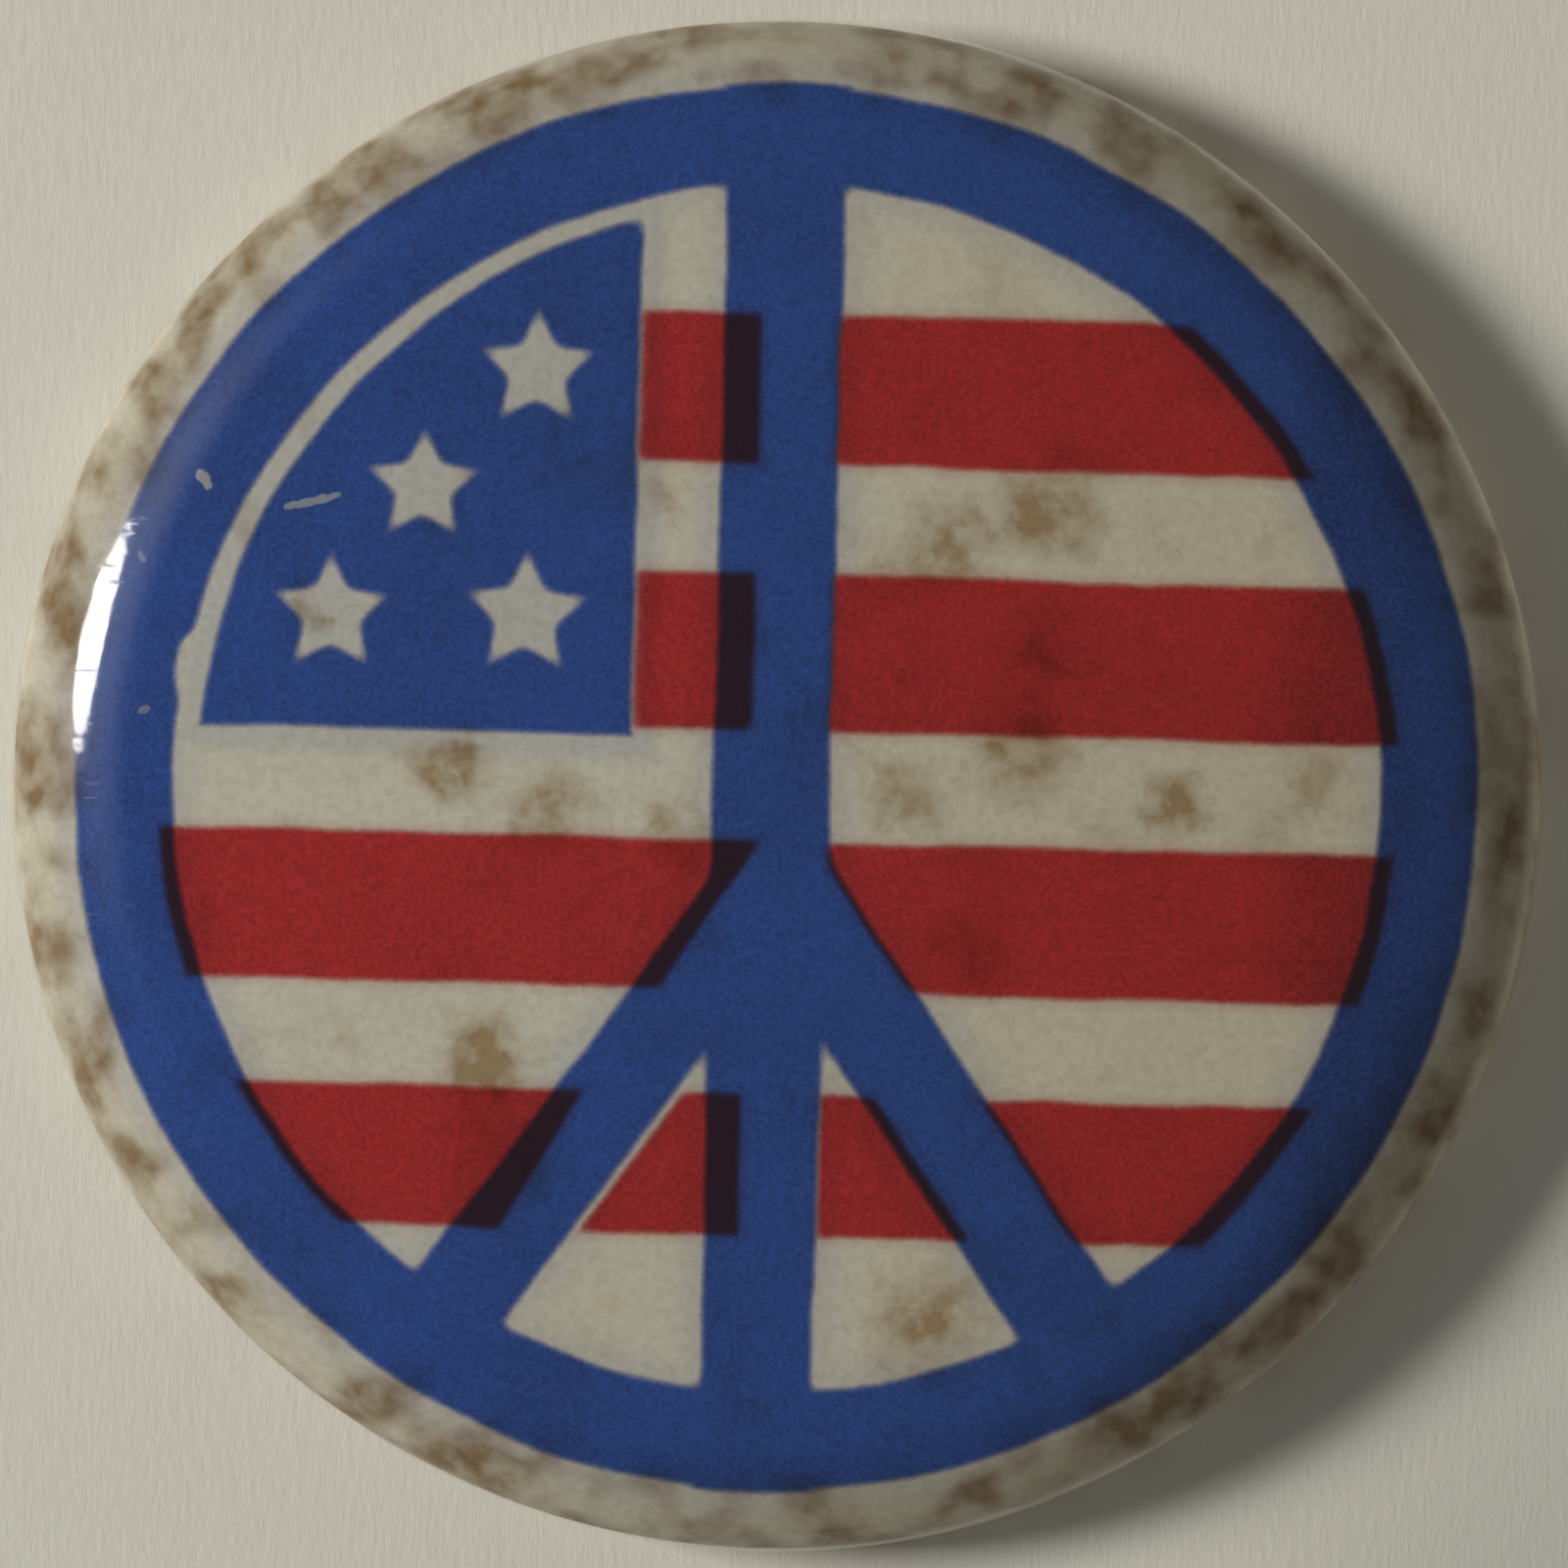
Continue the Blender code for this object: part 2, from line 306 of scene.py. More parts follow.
def needle_path():
    """From inside the collet, round the bend and along the needle to its point."""
    points = []
    for step in range(8):
        points.append(ring_point(RING_START_ANGLE + WIRE_SPLIT_ANGLE * (1 - step / 8)))
    for step in range(24):
        share = step / 24
        angle = RING_START_ANGLE + (math.pi / 2 - RING_START_ANGLE) * share
        rise = share * share * (3.0 - 2.0 * share)
        points.append(Vector((
            BEND_CENTRE_X + BEND_RADIUS * math.cos(angle),
            BEND_CENTRE_Y + BEND_RADIUS * math.sin(angle),
            BEND_START_HEIGHT + (PIN_HEIGHT - BEND_START_HEIGHT) * rise,
        )))
    length = NEEDLE_TIP_X - BEND_CENTRE_X
    for step in range(80):
        x = BEND_CENTRE_X + length * step / 79
        bow = NEEDLE_BOW * math.sin(math.pi * step / 79)
        points.append(Vector((x, PIN_ABOVE_CENTRE, PIN_HEIGHT + bow)))
    return points


def end_rounding(points, radii, length):
    """Rounds a wire's cut end over `length`, from the last point backwards."""
    end = points[-1]
    direction = (points[-1] - points[-2]).normalized()
    keep = len(points)
    while (points[keep - 1] - end).length < length:
        keep -= 1
    del points[keep:]
    del radii[keep:]
    for step in range(7):
        along = math.sin(math.pi / 2 * step / 6)
        points.append(end - direction * length * (1.0 - along))
        radii.append(WIRE_RADIUS * max(0.08, math.cos(math.pi / 2 * step / 6)))


def swept_wire(name, points, radii):
    """A round wire along the points, with its length and turn kept as an attribute."""
    tangents = []
    for index in range(len(points)):
        before = points[max(index - 1, 0)]
        after = points[min(index + 1, len(points) - 1)]
        tangents.append((after - before).normalized())
    side = tangents[0].orthogonal().normalized()
    vertices = []
    marks = []
    run = 0.0
    for index, point in enumerate(points):
        if index:
            run += (point - points[index - 1]).length
            side = (side - tangents[index] * side.dot(tangents[index])).normalized()
        across = tangents[index].cross(side)
        for step in range(WIRE_SIDES):
            turn = 2 * math.pi * step / WIRE_SIDES
            offset = radii[index] * (math.cos(turn) * side + math.sin(turn) * across)
            vertices.append(upright(*(point + offset)))
            marks.append((run, math.cos(turn), math.sin(turn)))
    faces = []
    for row in range(len(points) - 1):
        for step in range(WIRE_SIDES):
            here = row * WIRE_SIDES
            after = (step + 1) % WIRE_SIDES
            faces.append((
                here + step, here + after, here + WIRE_SIDES + after, here + WIRE_SIDES + step
            ))
    last = (len(points) - 1) * WIRE_SIDES
    faces.append(tuple(range(WIRE_SIDES))[::-1])
    faces.append(tuple(range(last, last + WIRE_SIDES)))
    wire = make_object(name, vertices, faces)
    attribute = wire.data.attributes.new("wire_run", "FLOAT_VECTOR", "POINT")
    attribute.data.foreach_set("vector", np.array(marks, np.float32).ravel())
    return wire


# ---------------------------------------------------------------- node helpers

def linear(red, green, blue):
    """A colour given in everyday 0-255 values, as the linear values shaders use."""
    values = []
    for value in (red, green, blue):
        share = value / 255
        values.append(share / 12.92 if share <= 0.04045 else ((share + 0.055) / 1.055) ** 2.4)
    return (*values, 1.0)


class Signal:
    """A number that varies over a surface; arithmetic on it adds math nodes."""

    def __init__(self, shade, socket):
        self.shade = shade
        self.socket = socket

    def calc(self, operation, *others):
        return self.shade.math(operation, self, *others)

    def __add__(self, other):
        return self.calc("ADD", other)

    __radd__ = __add__

    def __sub__(self, other):
        return self.calc("SUBTRACT", other)

    def __rsub__(self, other):
        return self.shade.math("SUBTRACT", other, self)

    def __mul__(self, other):
        return self.calc("MULTIPLY", other)

    __rmul__ = __mul__

    def __truediv__(self, other):
        return self.calc("DIVIDE", other)

    def __neg__(self):
        return self * -1.0

    def __abs__(self):
        return self.calc("ABSOLUTE")

    def least(self, other, blend=0.0):
        return self.calc("SMOOTH_MIN", other, blend) if blend else self.calc("MINIMUM", other)

    def most(self, other, blend=0.0):
        return self.calc("SMOOTH_MAX", other, blend) if blend else self.calc("MAXIMUM", other)

    def ramp(self, start, end):
        """0 at start and before, 1 at end and after, smooth between; start may be above end."""
        node = self.shade.node("ShaderNodeMapRange")
        node.interpolation_type = "SMOOTHSTEP"
        self.shade.plug(node.inputs["Value"], self)
        if start > end:
            node.inputs["From Min"].default_value = end
            node.inputs["From Max"].default_value = start
            node.inputs["To Min"].default_value = 1.0
            node.inputs["To Max"].default_value = 0.0
        else:
            node.inputs["From Min"].default_value = start
            node.inputs["From Max"].default_value = end
        return Signal(self.shade, node.outputs["Result"])


class Shade:
    """One material's nodes, with its coordinates in millimetres."""

    def __init__(self, name):
        self.material = bpy.data.materials.new(name)
        self.material.use_nodes = True
        self.tree = self.material.node_tree
        self.tree.nodes.clear()
        self.output = self.node("ShaderNodeOutputMaterial")
        place = self.node("ShaderNodeTexCoord").outputs["Object"]
        self.place = self.vector("SCALE", place, scale=1 / MM)
        self.x, self.depth, self.up = self.split(self.place)

    def node(self, kind, **settings):
        node = self.tree.nodes.new(kind)
        for key, value in settings.items():
            setattr(node, key, value)
        return node

    def plug(self, socket, value):
        if isinstance(value, Signal):
            value = value.socket
        if isinstance(value, bpy.types.NodeSocket):
            self.tree.links.new(value, socket)
        else:
            socket.default_value = value

    def math(self, operation, *values):
        node = self.node("ShaderNodeMath", operation=operation)
        for socket, value in zip(node.inputs, values):
            self.plug(socket, value)
        return Signal(self, node.outputs[0])

    def vector(self, operation, *values, scale=None):
        node = self.node("ShaderNodeVectorMath", operation=operation)
        for socket, value in zip(node.inputs, values):
            self.plug(socket, value)
        if scale is not None:
            self.plug(node.inputs["Scale"], scale)
        return node.outputs["Value" if operation in ("LENGTH", "DISTANCE") else "Vector"]

    def split(self, vector):
        node = self.node("ShaderNodeSeparateXYZ")
        self.plug(node.inputs[0], vector)
        return [Signal(self, socket) for socket in node.outputs]

    def join(self, x, y, z=0.0):
        node = self.node("ShaderNodeCombineXYZ")
        for socket, value in zip(node.inputs, (x, y, z)):
            self.plug(socket, value)
        return node.outputs[0]

    def noise(self, scale, detail=2.0, roughness=0.5, at=None, stretch=None, distortion=0.0):
        """Smooth noise from 0 to 1, with features about 1 / scale millimetres across."""
        at = self.place if at is None else at
        if stretch:
            at = self.vector("MULTIPLY", at, stretch)
        node = self.node("ShaderNodeTexNoise")
        self.plug(node.inputs["Vector"], at)
        node.inputs["Scale"].default_value = scale
        node.inputs["Detail"].default_value = detail
        node.inputs["Roughness"].default_value = roughness
        node.inputs["Distortion"].default_value = distortion
        return Signal(self, node.outputs["Fac"])

    def mix(self, share, first, second, blend="MIX"):
        node = self.node("ShaderNodeMix", data_type="RGBA", blend_type=blend)
        self.plug(node.inputs[0], share)
        self.plug(node.inputs[6], first)
        self.plug(node.inputs[7], second)
        return node.outputs[2]

    def bump(self, height, depth, normal=None):
        """Relief of `depth` millimetres where the height goes from 0 to 1."""
        node = self.node("ShaderNodeBump")
        node.inputs["Strength"].default_value = 1.0
        node.inputs["Distance"].default_value = depth * MM
        self.plug(node.inputs["Height"], height)
        if normal is not None:
            self.plug(node.inputs["Normal"], normal)
        return node.outputs["Normal"]

    def surface(self, kind, **inputs):
        node = self.node(kind)
        for key, value in inputs.items():
            self.plug(node.inputs[key.replace("_", " ")], value)
        return node.outputs[0]

    def mix_surfaces(self, share, first, second):
        node = self.node("ShaderNodeMixShader")
        self.plug(node.inputs[0], share)
        self.plug(node.inputs[1], first)
        self.plug(node.inputs[2], second)
        return node.outputs[0]

    def finish(self, surface):
        self.tree.links.new(surface, self.output.inputs["Surface"])
        return self.material


# ---------------------------------------------------------------- the printed paper

PRINT_TURN = math.radians(1.55)  # the design sits slightly clockwise
PRINT_CENTRE = (-0.02, -0.08)
PRINT_SCALE = 1.018
INK_SOFTNESS = 0.15
CORNER_ROUNDING = 0.45
CUT_WOBBLE = 0.28  # how far the hand-cut edges wander, from end to end of the wobble

RING_OUTER = 17.66
RING_INNER = 15.13
BAR_MIDDLE = -0.133
BAR_HALF = 1.488
STRIPES = ((11.89, 8.09), (5.38, 1.41), (-1.32, -5.10), (-7.66, -11.23))
CANTON_SIDE = -3.68
CANTON_BOTTOM = 1.21
CANTON_FOOT = -14.53  # where its curved side turns straight down to the bottom corner
CANTON_CENTRE = (0.11, 0.06)
CANTON_RADIUS = 14.675

# The stars: centre and reach of the points
STARS = ((-6.24, 10.35, 1.46), (-9.05, 7.31, 1.40), (-11.28, 4.10, 1.47), (-6.38, 4.19, 1.52))

# The arms of the sign: direction across each arm, and where its upper and lower edges lie
LEFT_ARM = (-0.816, 0.578, -0.03, -2.55)
RIGHT_ARM = (0.818, 0.575, 0.11, -2.58)

# The hand-cut red pieces: which stripe, reach under the ring, and straight edges, each a
# direction and how far the ink goes along it; most run a little way under the blue
BAR_LEFT = BAR_MIDDLE - BAR_HALF
BAR_RIGHT = BAR_MIDDLE + BAR_HALF
TO_BAR = (1.0, 0.0, BAR_LEFT + 0.97)
FROM_CANTON = (-1.0, 0.0, -CANTON_SIDE)
FROM_BAR = (-1.0, 0.0, -BAR_RIGHT + 0.10)
BELOW_LEFT_ARM = (LEFT_ARM[0], LEFT_ARM[1], LEFT_ARM[3] - 0.14)
ABOVE_RIGHT_ARM = (-RIGHT_ARM[0], -RIGHT_ARM[1], 0.05 - RIGHT_ARM[2] + 0.14)
BELOW_RIGHT_ARM = (RIGHT_ARM[0], RIGHT_ARM[1], RIGHT_ARM[3] + 0.36)
RED_PIECES = (
    (0, 0.50, (TO_BAR, FROM_CANTON)),
    (1, 0.50, (TO_BAR, FROM_CANTON)),
    (2, 0.42, ((0.840, -0.542, 0.435),)),
    (3, 0.32, ((0.866, -0.500, -0.14),)),
    (3, 0.30, (TO_BAR, BELOW_LEFT_ARM)),
    (0, 0.47, (FROM_BAR,)),
    (1, 0.46, (FROM_BAR,)),
    (2, 0.48, (FROM_BAR, ABOVE_RIGHT_ARM)),
    (3, 0.55, (FROM_BAR, ABOVE_RIGHT_ARM)),
    (3, 0.30, (FROM_BAR, BELOW_RIGHT_ARM)),
)

RED_INK = (0.77, 0.043, 0.056, 1.0)
BLUE_INK = (0.044, 0.138, 0.70, 1.0)
FOXING = (0.57, 0.43, 0.29, 1.0)
RUST = (0.38, 0.27, 0.17, 1.0)
WHITE = (1.0, 1.0, 1.0, 1.0)

# Foxing stains on the face: centre, reach and strength
STAINS = (
    ((6.75, 6.95), 1.9, 0.75),
    ((4.30, 5.85), 1.7, 0.75),
    ((2.60, 5.30), 1.2, 0.35),
    ((-8.00, 0.40), 1.4, 0.90),
    ((-5.60, -0.70), 1.7, 0.60),
    ((-2.40, -1.30), 1.2, 0.55),
    ((-7.10, -6.70), 1.7, 0.85),
    ((6.20, 0.75), 2.0, 0.65),
    ((9.65, -0.40), 1.3, 0.80),
    ((13.30, 0.00), 1.6, 0.45),
    ((3.20, -0.50), 1.4, 0.50),
    ((3.90, -13.20), 2.1, 0.75),
    ((5.50, 12.20), 1.6, 0.20),
    ((4.80, -4.10), 1.6, 0.55),
    ((6.40, 3.10), 2.0, 0.45),
    ((-11.70, 4.50), 0.9, 0.60),
    ((-4.30, 8.00), 2.6, 0.25),
    ((-6.80, -9.10), 2.2, 0.40),
)

# Flecks and scratches: centre, half length, half width, lean and strength
FLECKS = (
    ((-14.13, 7.55), 0.27, 0.16, -55.0, 0.75),
    ((-11.50, 6.98), 0.80, 0.110, 12.0, 0.60),
    ((-15.65, 5.60), 0.22, 0.10, -60.0, 0.35),
    ((-15.60, 1.85), 0.16, 0.10, 30.0, 0.35),
)


def star_distance(shade, x, y, reach):
    """Distance to a five-pointed star's edge, from its five-fold symmetry."""
    fold = math.radians(36.0)
    lean = (0.903, 0.428)
    radius = shade.math("SQRT", x * x + y * y)
    angle = abs(shade.math("ARCTAN2", x, y)).calc("PINGPONG", fold)

    def arm(direction):
        across = radius * direction.calc("SINE")
        along = radius * direction.calc("COSINE") - reach
        first = lean[0] * across + lean[1] * along
        second = -lean[0] * across + lean[1] * along
        return first.most(second, 0.42)

    return arm(angle).least(arm(2.0 * fold - angle), 0.34)


def arm_distance(a, b, arm):
    """Distance outside one arm of the sign, as if it ran on for ever both ways."""
    across_a, across_b, upper, lower = arm
    across = across_a * a + across_b * b
    return abs(across - (upper + lower) / 2) - (upper - lower) / 2


def coverage(shade, edge):
    """How much of the paper the ink covers, fading out evenly to the eye across its edge."""
    bare = edge.ramp(-INK_SOFTNESS, INK_SOFTNESS)
    return 1.0 - shade.math("POWER", bare, 1.7)


def printed_paper():
    shade = Shade("printed_paper")
    scale = PRINT_SCALE
    turn_cos, turn_sin = math.cos(PRINT_TURN), math.sin(PRINT_TURN)
    wobble_a = shade.noise(0.33, 3.0, 0.55) - 0.5
    elsewhere = shade.vector("ADD", shade.place, (31.0, 7.0, 11.0))
    wobble_b = shade.noise(0.33, 3.0, 0.55, at=elsewhere) - 0.5
    shift_x = (shade.x - PRINT_CENTRE[0]) * scale
    shift_y = (shade.up - PRINT_CENTRE[1]) * scale
    a = shift_x * turn_cos - shift_y * turn_sin + wobble_a * CUT_WOBBLE
    b = shift_x * turn_sin + shift_y * turn_cos + wobble_b * CUT_WOBBLE
    radius = shade.math("SQRT", a * a + b * b)

    # Blue plate: ring, bar, arms and canton; white channel and stars left out of it
    step_in = 0.24 * b.ramp(3.70, 3.15) * b.ramp(1.6, 2.7) * a.ramp(-13.0, -14.0)
    ring = (radius - RING_OUTER).most(RING_INNER + step_in - radius)
    narrowing = 0.08 * b.ramp(-6.0, -9.0)
    bar = (abs(a - BAR_MIDDLE) - BAR_HALF + narrowing).most(radius - RING_OUTER)
    outside_ring = radius - RING_INNER - 0.5
    left_arm = arm_distance(a, b, LEFT_ARM).most(a - BAR_MIDDLE).most(outside_ring)
    right_arm = arm_distance(a, b, RIGHT_ARM).most(BAR_MIDDLE - a).most(outside_ring)
    sign = ring.least(bar, CORNER_ROUNDING)
    sign = sign.least(left_arm.least(right_arm), CORNER_ROUNDING)
    canton_a, canton_b = a - CANTON_CENTRE[0], b - CANTON_CENTRE[1]
    canton_radius = shade.math("SQRT", canton_a * canton_a + canton_b * canton_b)
    canton_radius = (canton_radius - CANTON_RADIUS).most(CANTON_FOOT - a, 0.35)
    canton = (a - CANTON_SIDE).most(canton_radius, 0.85).most(CANTON_BOTTOM - b, 0.08)
    field = canton
    stars = None
    for star_a, star_b, reach in STARS:
        distance = star_distance(shade, a - star_a, b - star_b, reach)
        stars = distance if stars is None else stars.least(distance)
    canton = canton.most(-stars)
    blue_edge = sign.least(canton)

    # Red plate: each stripe's pieces, laid a little off register under the blue
    bands = [abs(b - (top + bottom) / 2) - (top - bottom) / 2 for top, bottom in STRIPES]
    red_edge = None
    for stripe, under_ring, edges in RED_PIECES:
        piece = bands[stripe].most(radius - (RING_INNER + under_ring), 0.2)
        for along_a, along_b, limit in edges:
            piece = piece.most(along_a * a + along_b * b - limit, 0.3)
        red_edge = piece if red_edge is None else red_edge.least(piece)

    # Paper: fine grain, a little age, foxing spots and rust from the shell round the rim
    grain = shade.noise(4.5, 3.0, 0.65)
    clouds = shade.noise(0.25, 3.0, 0.55)
    warp = shade.node("ShaderNodeTexNoise")
    shade.plug(warp.inputs["Vector"], shade.place)
    warp.inputs["Scale"].default_value = 0.9
    warp.inputs["Detail"].default_value = 3.0
    warped = shade.vector("SUBTRACT", warp.outputs["Color"], (0.5, 0.5, 0.5))
    warped = shade.vector("MULTIPLY", warped, (2.2, 0.0, 2.2))
    plan = shade.vector("MULTIPLY", shade.place, (1.0, 0.0, 1.0))
    warped = shade.vector("ADD", plan, warped)
    stain = None
    for (stain_x, stain_up), reach, strength in STAINS:
        away = Signal(shade, shade.vector("DISTANCE", warped, (stain_x, 0.0, stain_up)))
        spot = away.ramp(reach, 0.0) * strength
        stain = spot if stain is None else stain + spot
    blotches = shade.noise(1.5, 3.0, 0.55)
    faint = shade.noise(0.55, 3.0, 0.6).ramp(0.54, 0.74) * 0.30
    stain = (1.28 * stain + faint) * (0.45 + 1.0 * blotches.ramp(0.22, 0.78))
    plan_radius = shade.math("SQRT", shade.x * shade.x + shade.up * shade.up)
    rim = plan_radius.ramp(16.2, 18.0)
    patches = shade.noise(0.62, 1.0, 0.4).ramp(0.37, 0.71)
    curds = shade.noise(1.7, 1.5, 0.45).ramp(0.20, 0.80)
    outward = plan_radius.ramp(17.3, 18.9)
    rust = rim * (0.20 + 0.12 * outward + 0.84 * patches) * (0.56 + 0.46 * curds)

    paper = shade.mix(a.ramp(-10.0, 14.0), linear(214, 214, 208), linear(212, 208, 194))
    paper = shade.mix(clouds.ramp(0.3, 0.75) * 0.35, paper, linear(206, 200, 184))
    paper = shade.mix(grain.ramp(0.3, 0.8) * 0.30, paper, linear(150, 140, 118))
    paper = shade.mix(stain, paper, shade.mix(1.0, paper, FOXING, "MULTIPLY"))
    rust_ink = shade.mix(1.0, paper, RUST, "MULTIPLY")
    paper = shade.mix(rust, paper, rust_ink)

    # Inks: soft edges, a faint tint beside them, mottled density and painted shade darkening them
    # towards the right edge; only the front is printed
    front = shade.depth.ramp(1.0, 0.4)
    mottling = shade.noise(9.5, 1.0, 0.5)
    worn = a.ramp(CANTON_SIDE + 0.3, CANTON_SIDE) * b.ramp(CANTON_BOTTOM - 0.1, CANTON_BOTTOM)
    red_mask = coverage(shade, red_edge + 0.03)
    red_halo = red_edge.ramp(0.34, 0.0) * 0.20
    red_density = (1.0 - 0.10 * worn) * red_mask
    blue_mask = coverage(shade, blue_edge + 0.025) * front
    blue_halo = (blue_edge.ramp(1.0, 0.0) * 0.17).most(field.ramp(0.9, 0.3) * 0.19) * front
    inked = shade.mix(
        red_density.most(red_halo), paper, shade.mix(1.0, paper, RED_INK, "MULTIPLY")
    )
    inked = shade.mix(
        blue_mask.most(blue_halo), inked, shade.mix(1.0, inked, BLUE_INK, "MULTIPLY")
    )

    # Painted shade: the inks are darkened towards the right side of the ring, where the face turns
    # from the lamp; the rest is mottled density
    right_edge_painted_shade = a.ramp(11.5, 14.0) * a.ramp(17.6, 15.6)
    mottling_and_painted_shade = mottling.ramp(0.3, 0.7) * 0.50 + clouds.ramp(0.4, 0.8) * 0.22 + right_edge_painted_shade * 0.45
    darker_ink_and_painted_shade = shade.mix(1.0, inked, (0.45, 0.42, 0.45, 1.0), "MULTIPLY")
    inked = shade.mix(mottling_and_painted_shade * red_mask.most(blue_mask), inked, darker_ink_and_painted_shade)

    # Flecks where the surface is scuffed
    fleck = None
    ragged = (shade.noise(3.5, 3.0, 0.6) - 0.45) * 3.0
    for (fleck_x, fleck_up), half_length, half_width, lean, strength in FLECKS:
        lean_cos, lean_sin = math.cos(math.radians(lean)), math.sin(math.radians(lean))
        from_x, from_up = shade.x - fleck_x, shade.up - fleck_up
        along = (from_x * lean_cos + from_up * lean_sin) / half_length
        across = (from_up * lean_cos - from_x * lean_sin) / half_width
        mark = (along * along + across * across + ragged).ramp(1.35, 0.6) * strength
        fleck = mark if fleck is None else fleck + mark
    colour = shade.mix(fleck, inked, linear(170, 175, 178))

    normal = shade.bump(grain, 0.006)
    return shade.finish(shade.surface(
        "ShaderNodeBsdfPrincipled", Base_Color=colour, Roughness=0.75, Normal=normal,
        Specular_IOR_Level=0.15,
    ))


# ---------------------------------------------------------------- the other materials

def clear_film():
    """Aged clear film: a slightly yellow glaze with a soft unevenness and fine scratches."""
    shade = Shade("clear_film")
    unevenness = shade.noise(1.4, 2.0, 0.5)
    scratches = shade.noise(1.0, 1.0, 0.6, stretch=(0.7, 0.3, 7.0)).ramp(0.66, 0.74)
    normal = shade.bump(unevenness + 0.15 * scratches, 0.007)
    roughness = 0.05 + 0.06 * unevenness + 0.10 * scratches
    gloss = shade.surface(
        "ShaderNodeBsdfAnisotropic", Color=WHITE, Roughness=roughness, Normal=normal
    )
    clear = shade.surface("ShaderNodeBsdfTransparent", Color=(0.975, 0.970, 0.945, 1.0))
    mirror = shade.node("ShaderNodeFresnel")
    mirror.inputs["IOR"].default_value = 1.49
    shade.plug(mirror.inputs["Normal"], normal)
    glazed = shade.mix_surfaces(Signal(shade, mirror.outputs[0]), clear, gloss)
    inner_side = Signal(shade, shade.node("ShaderNodeNewGeometry").outputs["Backfacing"])
    camera = Signal(shade, shade.node("ShaderNodeLightPath").outputs["Is Camera Ray"])
    return shade.finish(shade.mix_surfaces(camera * (1.0 - inner_side), clear, glazed))


def tinplate():
    """Tinned steel inside the shell: turning marks, dull crystals, rust creeping in."""
    shade = Shade("tinplate")
    radius = shade.math("SQRT", shade.x * shade.x + shade.up * shade.up)
    rings = shade.noise(6.0, 3.0, 0.6, at=shade.join(radius, 0.0, 0.0))
    crystals = shade.noise(0.9, 4.0, 0.6)
    grime = shade.noise(0.35, 4.0, 0.6).ramp(0.42, 0.72)
    specks = shade.noise(2.6, 4.0, 0.7).ramp(0.60, 0.70)
    near_rim = radius.ramp(8.0, 16.5)
    rust = (specks * (0.35 + 0.65 * near_rim) + near_rim * grime * 0.5).least(1.0)
    steel = shade.mix(crystals, linear(168, 163, 150), linear(196, 191, 178))
    steel = shade.mix(grime * 0.5, steel, linear(132, 118, 92))
    rust_colour = shade.mix(shade.noise(4.0, 3.0), linear(70, 42, 22), linear(124, 78, 40))
    colour = shade.mix(rust, steel, rust_colour)
    normal = shade.bump(rings, 0.004)
    normal = shade.bump(rust * shade.noise(7.0, 2.0), 0.02, normal)
    roughness = 0.32 + 0.16 * crystals + 0.15 * grime + 0.35 * rust
    return shade.finish(shade.surface(
        "ShaderNodeBsdfPrincipled", Base_Color=colour, Metallic=1.0 - rust * 0.9,
        Roughness=roughness, Normal=normal,
    ))


def plated_steel():
    """The collet: bright pressed plate with drawing lines, scuffs and specks and patches of rust.
    """
    shade = Shade("plated_steel")
    radius = shade.math("SQRT", shade.x * shade.x + shade.up * shade.up)
    lines = shade.noise(9.0, 2.0, 0.6, at=shade.join(radius, shade.depth, 0.0))
    scuffs = shade.noise(0.8, 4.0, 0.65)
    specks = shade.noise(2.1, 5.0, 0.7).ramp(0.585, 0.68)
    patches = shade.noise(0.30, 3.0, 0.6).ramp(0.50, 0.68)
    rust = (specks * 0.85 + patches * specks + patches * 0.18).least(1.0)
    colour = shade.mix(scuffs, linear(186, 182, 172), linear(206, 203, 196))
    rust_colour = shade.mix(shade.noise(4.5, 3.0), linear(74, 44, 24), linear(132, 84, 44))
    colour = shade.mix(rust, colour, rust_colour)
    normal = shade.bump(lines, 0.003)
    normal = shade.bump(rust * shade.noise(8.0, 2.0), 0.02, normal)
    roughness = 0.22 + 0.22 * scuffs + 0.45 * rust
    return shade.finish(shade.surface(
        "ShaderNodeBsdfPrincipled", Base_Color=colour, Metallic=1.0 - rust * 0.9,
        Roughness=roughness, Normal=normal,
    ))


def spring_steel():
    """Drawn wire: fine lines along its length, duller patches and a few rust specks."""
    shade = Shade("spring_steel")
    run = shade.node("ShaderNodeAttribute", attribute_name="wire_run").outputs["Vector"]
    lines = shade.noise(1.0, 3.0, 0.6, at=run, stretch=(0.5, 7.0, 7.0))
    dull = shade.noise(0.5, 4.0, 0.6)
    specks = shade.noise(3.2, 4.0, 0.7).ramp(0.62, 0.70)
    colour = shade.mix(dull, linear(166, 162, 154), linear(196, 193, 186))
    rust_colour = linear(96, 58, 32)
    colour = shade.mix(specks * 0.8, colour, rust_colour)
    normal = shade.bump(lines, 0.004)
    roughness = 0.18 + 0.18 * dull + 0.4 * specks
    return shade.finish(shade.surface(
        "ShaderNodeBsdfPrincipled", Base_Color=colour, Metallic=1.0 - specks * 0.8,
        Roughness=roughness, Normal=normal,
    ))


BOARD_COLOUR = linear(228, 227, 219)


